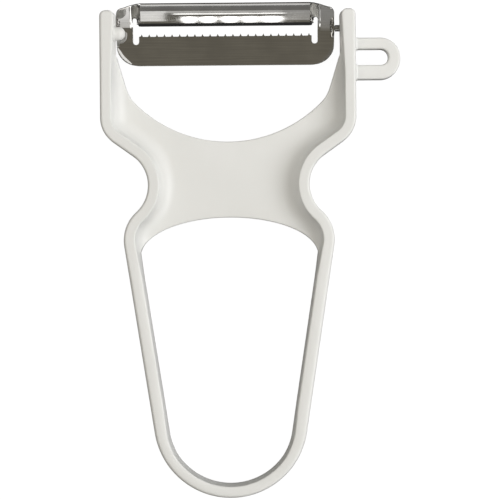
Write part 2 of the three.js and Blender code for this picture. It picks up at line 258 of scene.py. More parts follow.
def rim_face():
    """Section of the rim from mid depth outside, over the front face, to where the hollow begins."""
    points = [(-PARTING_RIDGE, 0.0), (0.0, PARTING_HALF)]
    points += [(0.0, share * (HALF_DEPTH - OUTER_ROUND)) for share in SIDE_SHARES]
    points += [(OUTER_ROUND * (1 - math.cos(turn)), HALF_DEPTH - OUTER_ROUND * (1 - math.sin(turn)))
               for turn in quarter(OUTER_STEPS)]
    points += [(distance, HALF_DEPTH) for distance in FACE_POINTS]
    sweep = math.pi / 2 - DRAFT_ANGLE
    start = FACE_WIDTH - FACE_ROUND * math.tan(sweep / 2)
    points += [(start + FACE_ROUND * math.sin(turn), HALF_DEPTH - FACE_ROUND * (1 - math.cos(turn)))
               for turn in np.linspace(0, sweep, FACE_STEPS + 1)]
    return points


def rounding_steps(radius):
    """A free edge's rounding: how far in from the edge and how far down, step by step."""
    return [(radius * (1 - math.sin(t)), radius * (1 - math.cos(t))) for t in quarter(FREE_EDGE_STEPS)]


EDGE_SEARCH_STEP = 0.1
EDGE_SEARCH_PAST = 0.3


def edge_depth(rim, along):
    """Distance from the rim's outside to where the web's free edge rounds over, or None if it is far."""
    point, out = rim.at(along)

    def over(depth):
        return past_flat(*(point + out * (RIM_HALF - depth))) > 0

    if over(HOLLOW_START):
        return HOLLOW_START
    depths = np.arange(HOLLOW_START, HOLLOW_END + EDGE_SEARCH_PAST, EDGE_SEARCH_STEP)
    for before, after in zip(depths[:-1], depths[1:]):
        if over(after):
            return float(halved(before, after, lambda depth: not over(depth))[1])
    return None


BUTT_STATIONS = 40
LEG_STATIONS = 30
LEG_END = 6.0
CLOSE_START = 5.5
CLOSE_STEP = 0.55
TIP_STEPS = 12


def rim_stations(rim):
    """Places along the rim to put a section at: close at the tip, and exactly where the hollow is cut."""
    def beyond(along):
        depth = edge_depth(rim, along)
        return depth is None or depth > HOLLOW_END

    leg_start, hip_start = rim.parts[1][0], rim.parts[2][0]
    body_end = rim.length - TIP_ROUND
    places = list(np.linspace(0.0, leg_start, BUTT_STATIONS))
    places += list(np.linspace(leg_start, hip_start - LEG_END, LEG_STATIONS)[1:])
    places += list(np.arange(hip_start - CLOSE_START, body_end, CLOSE_STEP))
    places += [body_end + TIP_ROUND * math.sin(turn) for turn in quarter(TIP_STEPS)]
    cuts = []
    for before, after in zip(places[:-1], places[1:]):
        at_start = beyond(before)
        if at_start != beyond(after):
            before, after = halved(before, after, lambda along: beyond(along) == at_start)
            cuts.append(after if at_start else before)
    return sorted(places + cuts), cuts


WELD = 0.0004
SMOOTH_BELOW = 32.0
X_AXIS, Z_AXIS = 0, 2


class Shell:
    """Corners and faces of a piece in millimetres, gathered before they become a mesh."""

    def __init__(self):
        self.points = []
        self.faces = []

    def column(self, points):
        first = len(self.points)
        self.points += [tuple(float(v) for v in p) for p in points]
        return list(range(first, len(self.points)))

    def between(self, left, right):
        for a, b, c, d in zip(left, right, right[1:], left[1:]):
            self.faces.append((a, b, c, d))

    def mirrored(self, axis):
        count = len(self.points)
        flipped = np.array(self.points)
        flipped[:, axis] *= -1
        self.points += [tuple(p) for p in flipped]
        self.faces += [tuple(count + i for i in reversed(f)) for f in self.faces]

    def mesh(self, name, shift, smooth_below=SMOOTH_BELOW):
        """A closed mesh in metres: doubles joined, faces outwards, creases kept above that many degrees."""
        data = bpy.data.meshes.new(name)
        moved = (np.array(self.points) + np.array(shift)) * MM
        bm = bmesh.new()
        corners = [bm.verts.new(p) for p in moved]
        for face in self.faces:
            if len(set(face)) > 2:
                try:
                    bm.faces.new([corners[i] for i in face])
                except ValueError:
                    continue
        bmesh.ops.remove_doubles(bm, verts=bm.verts, dist=WELD * MM)
        bmesh.ops.dissolve_degenerate(bm, edges=bm.edges, dist=WELD * MM)
        loose = [v for v in bm.verts if not v.link_faces]
        bmesh.ops.delete(bm, geom=loose, context="VERTS")
        bmesh.ops.recalc_face_normals(bm, faces=bm.faces)
        bm.to_mesh(data)
        bm.free()
        data.shade_smooth()
        data.set_sharp_from_angle(angle=math.radians(smooth_below))
        return data


WEB_SPACING = 1.6
FILL_INSIDE = 1
FILL_NEAR = 1e-7


def within(x, y, ring):
    """Whether a point lies inside a closed ring of points."""
    a, b = ring, np.roll(ring, -1, 0)
    crosses = (a[:, 1] > y) != (b[:, 1] > y)
    level = np.where(crosses, b[:, 1] - a[:, 1], 1.0)
    where = a[:, 0] + (y - a[:, 1]) * (b[:, 0] - a[:, 0]) / level
    return np.count_nonzero(crosses & (where > x)) % 2 == 1


def flat_fill(shell, ring, height, spacing):
    """Fills a ring of corners that lie at one height with even triangles."""
    outline = [Vector(shell.points[i][:2]) for i in ring]
    xy = np.array(outline)
    low, high = xy.min(0), xy.max(0)
    inner = []
    for x in np.arange(low[0] + spacing / 2, high[0], spacing):
        for y in np.arange(low[1] + spacing / 2, high[1], spacing):
            if within(x, y, xy) and np.hypot(*(xy - (x, y)).T).min() > spacing / 2:
                inner.append(Vector((x, y)))
    edges = [(i, (i + 1) % len(ring)) for i in range(len(ring))]
    made = delaunay_2d_cdt(outline + inner, edges, [], FILL_INSIDE, FILL_NEAR)
    corners = list(ring) + shell.column([(p.x, p.y, height) for p in inner])
    source = [group[0] for group in made[3]]
    for face in made[2]:
        shell.faces.append(tuple(corners[source[i]] for i in face))


def rim_section(rim, along):
    """A section: a function from distance and height to a place, the way outwards and the depth's share."""
    point, out = rim.at(along)
    to_tip = max(0.0, rim.tip - point[1])
    short = max(0.0, TIP_ROUND - to_tip)
    narrow = 1.0 - (TIP_ROUND - math.sqrt(TIP_ROUND ** 2 - short ** 2)) / RIM_HALF
    low = max(0.0, OUTER_ROUND - to_tip)
    shallow = 1.0 - (OUTER_ROUND - math.sqrt(OUTER_ROUND ** 2 - low ** 2)) / HALF_DEPTH
    wider = widening(point[1])
    slimmer = max(BUTT_SLIMMING * by_butt(point[1]), LEG_SLIMMING * on_legs(point[1]))
    crown = LEG_CROWN * on_legs(point[1])

    def on(distance, height):
        share = clamp((distance - OUTER_ROUND) / (FACE_WIDTH - OUTER_ROUND))
        upper = clamp(height / (HALF_DEPTH - FACE_ROUND))
        off_middle = min(abs(2 * distance / FACE_WIDTH - 1), 1.0)
        reach = distance - slimmer * max(distance - FACE_WIDTH, 0.0) + wider * share * upper
        x, y = point + out * (RIM_HALF - reach) * narrow
        return (x, y, (height - crown * off_middle ** 2 * upper) * shallow)

    return on, out, shallow


def hollow_points(on, depth):
    """The hollow between the rim's face and that depth, from its top down."""
    turn_end = math.acos(clamp((HOLLOW_END - depth) / HOLLOW_RADIUS))
    points = []
    for turn in np.linspace(DRAFT_ANGLE, turn_end, HOLLOW_STEPS + 1)[1:]:
        reached = HOLLOW_END - HOLLOW_RADIUS * math.cos(turn)
        points.append(on(reached, hollow_height(reached)))
    return points


def free_edge_points(on, out, shallow, depth, top):
    """The free edge's rounding, the bare wall under it down to mid depth, and where the edge stands."""
    end = np.array(on(depth, 0.0)[:2])
    radius = min(FREE_EDGE_ROUND, FREE_EDGE_SHARE * (depth - HOLLOW_START))
    inwards = into_web(*end)
    edge = end - inwards * radius
    depth += radius * float(inwards @ out)
    walled = depth < RIDGE_DEPTH
    bare = wall_height(depth) if walled else 0.0
    points = []
    for inset_by, drop in rounding_steps(radius)[1:]:
        points.append((*(edge + inwards * inset_by), max(top - drop * shallow, bare * shallow)))
    points.append((*edge, bare * shallow))
    aside = edge - np.array(on(depth, 0.0)[:2])
    for k in range(1, WALL_STEPS + 1):
        share = 1 - k / WALL_STEPS
        x, y, z = on(max(depth, wall_depth(bare * share)), bare * share)
        points.append((x + aside[0] * share, y + aside[1] * share, z) if walled else (*edge, 0.0))
    return points, edge


WEB_EDGE_STEPS = 90
SEARCH_NEAR = 1.0
SEARCH_FAR = 20.0


def web_edge(shell, first, edge, at_mouth):
    """Rounds the web's free edge from the rim to the middle, and gives its corners on the web's face."""
    inside = mouth_inside if at_mouth else loop_inside
    below, above = (SEARCH_FAR, SEARCH_NEAR) if at_mouth else (SEARCH_NEAR, SEARCH_FAR)
    columns = [first]
    for x in np.linspace(edge[0], 0.0, WEB_EDGE_STEPS)[1:]:
        low, high = halved(edge[1] - below, edge[1] + above, lambda y: (inside(x, y) > 0) != at_mouth)
        y = (low + high) / 2
        inwards = into_web(x, y)
        column = [(x + inwards[0] * inset_by, y + inwards[1] * inset_by, WEB_HALF - drop)
                  for inset_by, drop in rounding_steps(FREE_EDGE_ROUND)]
        columns.append(shell.column(column + [(x, y, 0.0)]))
        shell.between(columns[-2], columns[-1])
    return [column[0] for column in columns]


def handle_shell():
    """A quarter of the handle, which is then mirrored twice: rim, hollow, free edges and web."""
    rim = RimLine()
    shell = Shell()
    face = rim_face()
    places, cuts = rim_stations(rim)
    previous, previous_webbed = None, False
    web_side = []
    web_edges = {}
    cut_columns = []
    for along in places:
        on, out, shallow = rim_section(rim, along)
        depth = edge_depth(rim, along)
        cut = along in cuts
        webbed = not cut and (depth is None or depth > HOLLOW_END)
        depth = HOLLOW_END if webbed or cut else depth
        column = [on(*p) for p in face] + hollow_points(on, depth)
        run = len(column)
        if not webbed:
            points, edge = free_edge_points(on, out, shallow, depth, column[-1][2])
            column += points
        ids = shell.column(column)
        if previous:
            shared = run if webbed or previous_webbed else len(ids)
            shell.between(previous[:shared], ids[:shared])
        if webbed or cut:
            web_side.append(ids[run - 1])
        if cut:
            cut_columns.append((ids[run - 1:run + FREE_EDGE_STEPS + 1], edge))
        previous, previous_webbed = ids, webbed
    shell.faces.append(tuple(previous))
    for first, edge in cut_columns:
        at_mouth = edge[1] > WAIST_HEIGHT
        web_edges[at_mouth] = web_edge(shell, first, edge, at_mouth)
    ring = web_side + web_edges[True][1:] + list(reversed(web_edges[False]))[:-1]
    flat_fill(shell, ring, WEB_HALF, WEB_SPACING)
    shell.mirrored(Z_AXIS)
    shell.mirrored(X_AXIS)
    return shell


EYE_HEIGHT = 10.9
EYE_SLOT = 4.2
EYE_SLOT_RISE = 0.4
EYE_NOSE = 45.075
EYE_CORNER = 5.2
EYE_STRIP = 3.1
EYE_HALF = 2.75
EYE_ROUND = 0.55
EYE_FILLET = 0.8
EYE_MIDDLE = 112.408
EYE_ROOT = 0.6
EYE_SLOT_FLARE = 0.7
EYE_ROOT_STEPS = 3
EYE_FILLET_STEPS = 7
EYE_STRIP_STEPS = 8
EYE_TURN_STEPS = 48
EYE_ROUND_STEPS = 6
EYE_FAR = 20.0


def eye_remover_shell():
    """The flat loop on the right arm, swept round its slot and flared where it grows out of the arm."""
    slot_half = EYE_SLOT / 2
    slot_end = np.array([EYE_NOSE - EYE_STRIP - slot_half, EYE_SLOT_RISE])
    corner = (EYE_NOSE - EYE_CORNER, EYE_HEIGHT / 2 - EYE_CORNER)
    fillet_end = ARM_OUTER + EYE_FILLET

    def outside(turn):
        """How far the outline lies from the middle of the slot's end at that angle."""
        def in_outline(far):
            x, y = slot_end + far * unit(turn)
            return math.hypot(max(0.0, x - corner[0]), max(0.0, abs(y) - corner[1])) < EYE_CORNER
        return halved(0.0, EYE_FAR, in_outline)[0]

    def strip(way):
        """Pairs of points across the straight strip above or below the slot, from the arm outwards."""
        root = np.linspace(ARM_HALF + EYE_ROOT, ARM_OUTER, EYE_ROOT_STEPS + 1)[:-1]
        fillet = ARM_OUTER + EYE_FILLET * (1 - np.cos(quarter(EYE_FILLET_STEPS)))
        straight = np.linspace(fillet_end, slot_end[0], EYE_STRIP_STEPS + 1)[1:-1]
        pairs = []
        for x in np.concatenate([root, fillet, straight]):
            gap = min(max(x - ARM_OUTER, 0.0), EYE_FILLET)
            flare = EYE_FILLET - math.sqrt(EYE_FILLET ** 2 - (EYE_FILLET - gap) ** 2)
            slot_edge = EYE_SLOT_RISE + way * (slot_half - min(flare, EYE_SLOT_FLARE * EYE_FILLET))
            pairs.append(((x, way * (EYE_HEIGHT / 2 + flare)), (x, slot_edge), flare))
        return pairs

    pairs = strip(1)
    for turn in np.linspace(math.pi / 2, -math.pi / 2, EYE_TURN_STEPS + 1):
        pairs.append((slot_end + outside(turn) * unit(turn), slot_end + slot_half * unit(turn), 0.0))
    pairs += reversed(strip(-1))
    shell = Shell()
    columns = []
    for outer, inner, flare in pairs:
        outer, inner = np.array(outer), np.array(inner)
        width = np.hypot(*(inner - outer))
        across = (inner - outer) / width
        half = EYE_HALF + flare
        section = [(0.0, 0.0), (0.0, half - EYE_ROUND)]
        section += [(EYE_ROUND * (1 - math.cos(turn)), half - EYE_ROUND * (1 - math.sin(turn)))
                    for turn in quarter(EYE_ROUND_STEPS)[1:]]
        section += [(width / 2, half)]
        section += [(width - d, h) for d, h in reversed(section[:-1])]
        columns.append(shell.column([(*(outer + across * d), h) for d, h in section]))
    for left, right in zip(columns[:-1], columns[1:]):
        shell.between(left, right)
    shell.faces.append(tuple(columns[0]))
    shell.faces.append(tuple(reversed(columns[-1])))
    shell.mirrored(Z_AXIS)
    return shell


def turned_shell(profile, sides):
    """A body turned about X. The profile is pairs of a radius and a place along X, from axis to axis."""
    shell = Shell()
    columns = []
    for k in range(sides):
        angle = 2 * math.pi * k / sides
        columns.append(shell.column([(x, r * math.cos(angle), r * math.sin(angle)) for r, x in profile]))
    for k in range(sides):
        shell.between(columns[k], columns[(k + 1) % sides])
    return shell


STOP_RADIUS = 1.8
STOP_END = -26.725
STOP_FILLET = 0.4
STOP_PLACE = (0.0, 119.308, 9.7)
STOP_ROOT = 0.4
STOP_FOOT = 0.8
STOP_SIDES = 48


def stop_shell():
    """The round-ended boss on the left arm, with a small fillet at its foot."""
    height = STOP_PLACE[2] - HALF_DEPTH
    foot = -ARM_OUTER + wall_depth(height) + widening(STOP_PLACE[1]) * height / (HALF_DEPTH - FACE_ROUND)
    root = -ARM_HALF - STOP_ROOT
    profile = [(0.0, root), (STOP_RADIUS + STOP_FILLET, root)]
    for t in quarter(5):
        radius = STOP_RADIUS + STOP_FILLET * (1 - math.sin(t))
        profile.append((radius, foot + STOP_FILLET * (STOP_FOOT - math.cos(t))))
    profile += [(STOP_RADIUS * math.cos(t), STOP_END - STOP_RADIUS * (1 - math.sin(t))) for t in quarter(12)]
    return turned_shell(profile, STOP_SIDES)


BEARING_RADIUS = 1.05
BEARING_DEPTH = 2.7
BEARING_CLEAR = 1.2
BEARING_SIDES = 40


def bearing_shell(side):
    """The body of the blind hole that a pin turns in, with an end that stands clear of the arm's wall."""
    inner, floor = side * (ARM_INNER - BEARING_CLEAR), side * (ARM_INNER + BEARING_DEPTH)
    profile = [(0.0, inner), (BEARING_RADIUS, inner), (BEARING_RADIUS, floor), (0.0, floor)]
    return turned_shell(profile, BEARING_SIDES)


def placed(name, data):
    piece = bpy.data.objects.new(name, data)
    bpy.context.scene.collection.objects.link(piece)
    return piece


def joined(piece, other_data, operation):
    """The piece with another body added to it or cut out of it."""
    other = placed("tool_body", other_data)
    step = piece.modifiers.new(operation.lower(), "BOOLEAN")
    step.operation = operation
    step.solver = "EXACT"
    step.object = other
    depsgraph = bpy.context.evaluated_depsgraph_get()
    made = bpy.data.meshes.new_from_object(piece.evaluated_get(depsgraph))
    piece.modifiers.clear()
    piece.data = made
    bpy.data.objects.remove(other)


handle = placed("moulded_handle", handle_shell().mesh("moulded_handle", (0.0, 0.0, HALF_DEPTH)))
joined(handle, eye_remover_shell().mesh("eye_remover", (0.0, EYE_MIDDLE, HALF_DEPTH)), "UNION")
joined(handle, stop_shell().mesh("stop_boss", STOP_PLACE), "UNION")
for side in (-1, 1):
    joined(handle, bearing_shell(side).mesh("bearing", (0.0, PIVOT.y, PIVOT.z)), "DIFFERENCE")
handle.data.shade_smooth()
handle.data.set_sharp_from_angle(angle=math.radians(SMOOTH_BELOW))
handle.data.name = "moulded_handle"


def new_material(name):
    """An empty node material, its shader and a function that adds a node with its settings and links."""
    material = bpy.data.materials.new(name)
    material.use_nodes = True
    tree = material.node_tree
    shader = tree.nodes["Principled BSDF"]

    def node(kind, settings=None, **inputs):
        made = tree.nodes.new(kind)
        for key, value in (settings or {}).items():
            setattr(made, key, value)
        for key, value in inputs.items():
            socket = made.inputs[key.replace("_", " ")]
            if isinstance(value, bpy.types.NodeSocket):
                tree.links.new(value, socket)
            else:
                socket.default_value = value
        return made

    return material, tree, shader, node


def ramp(made, stops):
    """Sets a colour ramp's stops, each a place and a grey or a colour."""
    elements = made.color_ramp.elements
    while len(elements) < len(stops):
        elements.new(0.5)
    for element, (place, value) in zip(elements, stops):
        element.position = place
        colour = (value, value, value) if isinstance(value, float) else value
        element.color = (*colour, 1.0)
    return made


PLASTIC_SHADE = (0.786, 0.790, 0.768)
PLASTIC_LIGHT = (0.812, 0.816, 0.797)


def satin_white_plastic():
    """White moulding: faint cloudiness, a fine spark-eroded grain and slight differences of gloss."""
    material, tree, shader, node = new_material("satin_white_plastic")
    place = node("ShaderNodeTexCoord").outputs["Object"]
    clouds = node("ShaderNodeTexNoise", Vector=place, Scale=55.0, Detail=3.0, Roughness=0.5).outputs["Fac"]
    tint = ramp(node("ShaderNodeValToRGB", Fac=clouds), [(0.3, PLASTIC_SHADE), (0.7, PLASTIC_LIGHT)])
    grain = node("ShaderNodeTexNoise", Vector=place, Scale=2600.0, Detail=2.0, Roughness=0.6).outputs["Fac"]
    gloss = node("ShaderNodeMapRange", Value=clouds, From_Min=0.3, From_Max=0.7, To_Min=0.4, To_Max=0.5)
    bump = node("ShaderNodeBump", Strength=0.25, Distance=0.00001, Height=grain)
    tree.links.new(tint.outputs["Color"], shader.inputs["Base Color"])
    tree.links.new(gloss.outputs["Result"], shader.inputs["Roughness"])
    tree.links.new(bump.outputs["Normal"], shader.inputs["Normal"])
    shader.inputs["IOR"].default_value = 1.49
    return material


handle.data.materials.clear()
handle.data.materials.append(satin_white_plastic())
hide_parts("handle_frame")
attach(handle, "handle")


# Blade.
# One pressing of rolled stainless sheet: a plate with a row of thorn-shaped teeth, a ground cutting bar
# set back above it, two ears, and an edge turned forward at both ends. The pins are riveted in the ends.

GAUGE = 0.5
FOLD_ANGLE = math.radians(35)
FOLD = math.tan(FOLD_ANGLE)
FOLD_SOFTNESS = 0.9
BLADE_HALF = 28.6
PLATE_FRONT = -1.6
PLATE_DROP = 9.4
PLATE_CORNER = 6.2
CORNER_X = BLADE_HALF - PLATE_CORNER
CORNER_Y = PLATE_CORNER - PLATE_DROP
CURL_RISE = 0.42
CURL_WIDTH = 1.1
CURL_LAST = 88.0
CURL_LAST_FADE = 45.0
CURL_FIRST_FADE = 30.0
EAR_RISE = 5.3
EAR_CORNER = 1.6
EAR_CURVE = 0.01
EAR_STEP_START = -0.5
EAR_STEP_RUN = 2.9
JOGGLE_INNER = 22.3
JOGGLE_OUTER = 24.92
JOGGLE_EASE = 0.2
BAR_RISE = 6.6
BAR_HALF = 22.575
BAR_CORNER = 1.05
BAR_STEP = 1.5
BAR_SETBACK = BAR_STEP / math.cos(FOLD_ANGLE)
BAR_HOLLOW = 0.32
BAR_TOP_DROP = 0.12
BAR_TOP_INNER = 0.3
BAR_TOP_OUTER = 0.5
EDGE_RISE = 0.86
EDGE_LAND = 0.1
EDGE_BEND = 0.45
EDGE_MARGIN = 0.5
GRIND_HEIGHT = 1.0
GRIND_TOP = EDGE_RISE + GRIND_HEIGHT
GRIND_BLEND = 1.3
END_GRIND = 0.45
END_GRIND_FADE = 0.8
SLOT_INNER = 22.7
SLOT_OUTER = 24.25
SLOT_RISE = 3.0
SLOT_DROP = 3.8
SLOT_TOP_WIDTH = 1.1
BAR_END = SLOT_OUTER - SLOT_TOP_WIDTH
TOOTH_PITCH = 2.0
TOOTH_COUNT = 23
TOOTH_HALF = 0.36
TOOTH_HEIGHT = 0.72
TOOTH_TIP = -0.98
TOOTH_ROOT = TOOTH_TIP - TOOTH_HEIGHT
TOOTH_SHARES = (-1.0, -0.6, -0.3, -0.1, 0.1, 0.3, 0.6, 1.0)
TOOTH_HOLLOW = 1.7
TOOTH_ROUND = 0.018
CUT_ROUND = 0.07
TURN_INSET = 0.5
LUG_HALF = 2.3
LUG_RELIEF = 0.3
FLANGE_FRONT = 1.3
FLANGE_BEND = 0.2


def smooth_step(value):
    value = clamp(value)
    return value * value * (3 - 2 * value)


def eased_ramp(value, ease):
    """From 0 to 1 in a straight ramp that starts gently and ends in a crease."""
    value = clamp(value)
    steep = 1.0 / (1.0 - ease / 2)
    if value < ease:
        return steep * value * value / (2 * ease)
    return steep * (value - ease / 2)


def curl(x, y):
    """How far the edge is turned forward round the plate's lower corners."""
    side, down = abs(x) - CORNER_X, CORNER_Y - y
    if side <= 0 or down <= 0:
        return 0.0
    edge = PLATE_CORNER - math.hypot(side, down)
    turn = math.degrees(math.atan2(down, side))
    amount = CURL_RISE * smooth_step((CURL_LAST - turn) / CURL_LAST_FADE)
    amount *= smooth_step(turn / CURL_FIRST_FADE)
    return amount * max(0.0, 1 - max(edge, 0.0) / CURL_WIDTH) ** 2


def from_edge(x, y):
    """From 1 on the bar's lower edge, which runs up round its ends, to 0 where the bevel stops."""
    from_end = BAR_END - abs(x)
    if y < EDGE_RISE - EDGE_MARGIN or from_end < -EDGE_MARGIN:
        return 0.0
    low = max(1.0 - (y - EDGE_RISE) / GRIND_HEIGHT, 0.0)
    end = max(1.0 - from_end / END_GRIND, 0.0)
    fade = 1.0 - smooth_step((y - SLOT_RISE + END_GRIND_FADE) / END_GRIND_FADE)
    return min((low ** GRIND_BLEND + end ** GRIND_BLEND) ** (1 / GRIND_BLEND), 1.0) * fade


def ground_off(x, y):
    """How much the wheel has taken off the bar's front along its lower edge and round its ends."""
    return (GAUGE - EDGE_LAND) * from_edge(x, y)


def blade_front(x, y):
    """Height of the sheet's front face above the pivot axis, before grinding."""
    across = eased_ramp((JOGGLE_OUTER - abs(x)) / (JOGGLE_OUTER - JOGGLE_INNER), JOGGLE_EASE)
    if abs(x) > SLOT_OUTER - SLOT_TOP_WIDTH / 2:
        above = smooth_step((y - EAR_STEP_START) / EAR_STEP_RUN)
    else:
        above = smooth_step((y - TOOTH_TIP) / (EDGE_RISE - TOOTH_TIP))
    lean = (y + math.sqrt(y * y + FOLD_SOFTNESS ** 2)) / 2
    up = clamp((y - EDGE_RISE) / (BAR_RISE - EDGE_RISE))
    hollow = BAR_HOLLOW * 4 * up * (1 - up)
    ear = lean * FOLD + EAR_CURVE * (lean * (1 - across)) ** 2
    bent = EDGE_BEND * from_edge(x, y)
    return PLATE_FRONT + ear - (BAR_SETBACK * above + hollow) * across - bent + curl(x, y)


def blade_normal(x, y):
    step = 0.01
    slope_x = (blade_front(x + step, y) - blade_front(x - step, y)) / (2 * step)
    slope_y = (blade_front(x, y + step) - blade_front(x, y - step)) / (2 * step)
    length = math.sqrt(1 + slope_x ** 2 + slope_y ** 2)
    return np.array([-slope_x, -slope_y, 1.0]) / length


def sheet_point(x, y, depth):
    """A point that deep under the front face, which the grinding lowers."""
    normal = blade_normal(x, y)
    depth = max(depth, min(ground_off(x, y) * normal[2], GAUGE - EDGE_LAND))
    return np.array([x, y, blade_front(x, y)]) - normal * depth


def round_arc(x, y, radius, start, end, steps):
    angles = np.linspace(math.radians(start), math.radians(end), steps + 1)
    return [(x + radius * math.cos(a), y + radius * math.sin(a)) for a in angles]


def flip_x(points):
    return [(-x, y) for x, y in reversed(points)]


def divided(points, longest):
    """The closed outline with its long sides divided."""
    made = []
    for a, b in zip(points, points[1:] + points[:1]):
        count = max(1, math.ceil(math.dist(a, b) / longest))
        made += [(a[0] + (b[0] - a[0]) * k / count, a[1] + (b[1] - a[1]) * k / count) for k in range(count)]
    return made


OUTLINE_STEP = 0.4
THROAT_STEP = 0.5


def blank_outline():
    """Outline of the sheet, drawn in where an end is turned forward."""
    turned = BLADE_HALF - TURN_INSET
    right = round_arc(CORNER_X, CORNER_Y, PLATE_CORNER, -90, 0, steps=30)
    right += [(BLADE_HALF, -LUG_HALF), (turned, LUG_RELIEF - LUG_HALF)]
    right += [(turned, LUG_HALF - LUG_RELIEF), (BLADE_HALF, LUG_HALF)]
    right += round_arc(BLADE_HALF - EAR_CORNER, EAR_RISE - EAR_CORNER, EAR_CORNER, 0, 90, steps=10)
    right += [(BAR_HALF + BAR_TOP_OUTER, BAR_RISE - BAR_TOP_DROP), (BAR_HALF - BAR_TOP_INNER, BAR_RISE)]
    return divided(right + flip_x(right), OUTLINE_STEP)


def throat_outline():
    """The opening: thorn-shaped teeth below, the cutting edge above, and a relief slot at each end."""
    comb = []
    for k in range(TOOTH_COUNT):
        middle = (k - (TOOTH_COUNT - 1) / 2) * TOOTH_PITCH
        for share in TOOTH_SHARES:
            rise = TOOTH_HEIGHT * (1 - abs(share)) ** TOOTH_HOLLOW
            comb.append((middle + share * TOOTH_HALF, TOOTH_ROOT + rise))
    low_radius = (SLOT_OUTER - SLOT_INNER) / 2
    top_radius = SLOT_TOP_WIDTH / 2
    right = [(SLOT_INNER, TOOTH_ROOT)]
    right += round_arc(SLOT_OUTER - low_radius, low_radius - SLOT_DROP, low_radius, -180, 0, steps=14)
    right += round_arc(SLOT_OUTER - top_radius, SLOT_RISE - top_radius, top_radius, 0, 180, steps=12)
    right += round_arc(BAR_END - BAR_CORNER, EDGE_RISE + BAR_CORNER, BAR_CORNER, 0, -90, steps=10)
    return divided(comb[1:-1] + right + flip_x(right), THROAT_STEP)


COMB_MARGIN = 0.1
COMB_FOOT = -2.0
SHARPEST = 0.6


def inset(points, distance, inwards):
    """The outline moved to one side, limited at sharp corners and on the teeth."""
    xy = np.array(points)
    toothed = abs(xy[:, 0]) < BAR_HALF - COMB_MARGIN
    toothed &= (xy[:, 1] < TOOTH_TIP + COMB_MARGIN) & (xy[:, 1] > COMB_FOOT)
    distance = np.where(toothed, TOOTH_ROUND, distance)
    before, after = xy - np.roll(xy, 1, 0), np.roll(xy, -1, 0) - xy
    before /= np.hypot(*before.T)[:, None]
    after /= np.hypot(*after.T)[:, None]
    along = before + after
    along /= np.maximum(np.hypot(*along.T), TINY)[:, None]
    sharp = np.maximum(np.abs((along * after).sum(1)), SHARPEST)
    normal = np.stack([-along[:, 1], along[:, 0]], 1) * inwards
    return xy + normal * (distance / sharp)[:, None]


PLATE_ROWS = (-PLATE_DROP, -1.4, 16)
THROAT_ROWS = (-1.2, EDGE_RISE, 14)
BEVEL_ROWS = (EDGE_RISE + 0.2, GRIND_TOP, 6)
BAR_ROWS = (GRIND_TOP + 0.12, BAR_RISE - 0.15, 32)
MIDDLE_COLUMNS = 66
MIDDLE_MARGIN = 1.2
CLOSE_GRID = 0.17
CLOSE_COLUMNS = 6
CLOSE_ROWS = 66
CURL_ROWS = (0.2, CURL_WIDTH + 0.1, 8)
CURL_GAP = 0.15
BORDER_GAP = 0.06


def mesh_places():
    """Places for the mesh's inner corners: wide rows along the middle, close ones at the ends and corners."""
    rows = np.concatenate([np.linspace(*span) for span in (PLATE_ROWS, THROAT_ROWS, BEVEL_ROWS, BAR_ROWS)])
    middle_half = JOGGLE_INNER - MIDDLE_MARGIN
    places = [(x, y) for x in np.linspace(-middle_half, middle_half, MIDDLE_COLUMNS) for y in rows]
    for x in np.arange(JOGGLE_INNER - CLOSE_GRID * CLOSE_COLUMNS, BLADE_HALF, CLOSE_GRID):
        for y in np.arange(GRIND_TOP - CLOSE_GRID * CLOSE_ROWS, BAR_RISE, CLOSE_GRID):
            in_corner = x > CORNER_X and y < CORNER_Y
            from_corner = math.hypot(x - CORNER_X, y - CORNER_Y)
            if not in_corner or from_corner < PLATE_CORNER - CURL_WIDTH - CURL_GAP:
                places += [(x, y), (-x, y)]
    for depth in np.linspace(*CURL_ROWS):
        for x, y in round_arc(CORNER_X, CORNER_Y, PLATE_CORNER - depth, -89, -1, steps=44):
            places += [(x, y), (-x, y)]
    return places


ROUND_ACROSS = 0.6
ROUND_DOWN = 0.4
THIN_EDGE = 3 * CUT_ROUND


def cut_edge(edge, start):
    """Points over the rounded cut edge, from the front to the back, at one place of the outline."""
    half = start + (edge - start) * ROUND_ACROSS
    top = ground_off(*edge)
    steps = [(half, top + CUT_ROUND * ROUND_DOWN), (edge, top + CUT_ROUND),
             (edge, GAUGE - CUT_ROUND), (half, GAUGE - CUT_ROUND * ROUND_DOWN)]
    if GAUGE - top < THIN_EDGE:
        middle = (top + GAUGE) / 2
        steps = [(half, top), (edge, middle), (edge, middle), (half, GAUGE)]
    return [np.array([*place, blade_front(*place)]) - blade_normal(*place) * depth for place, depth in steps]


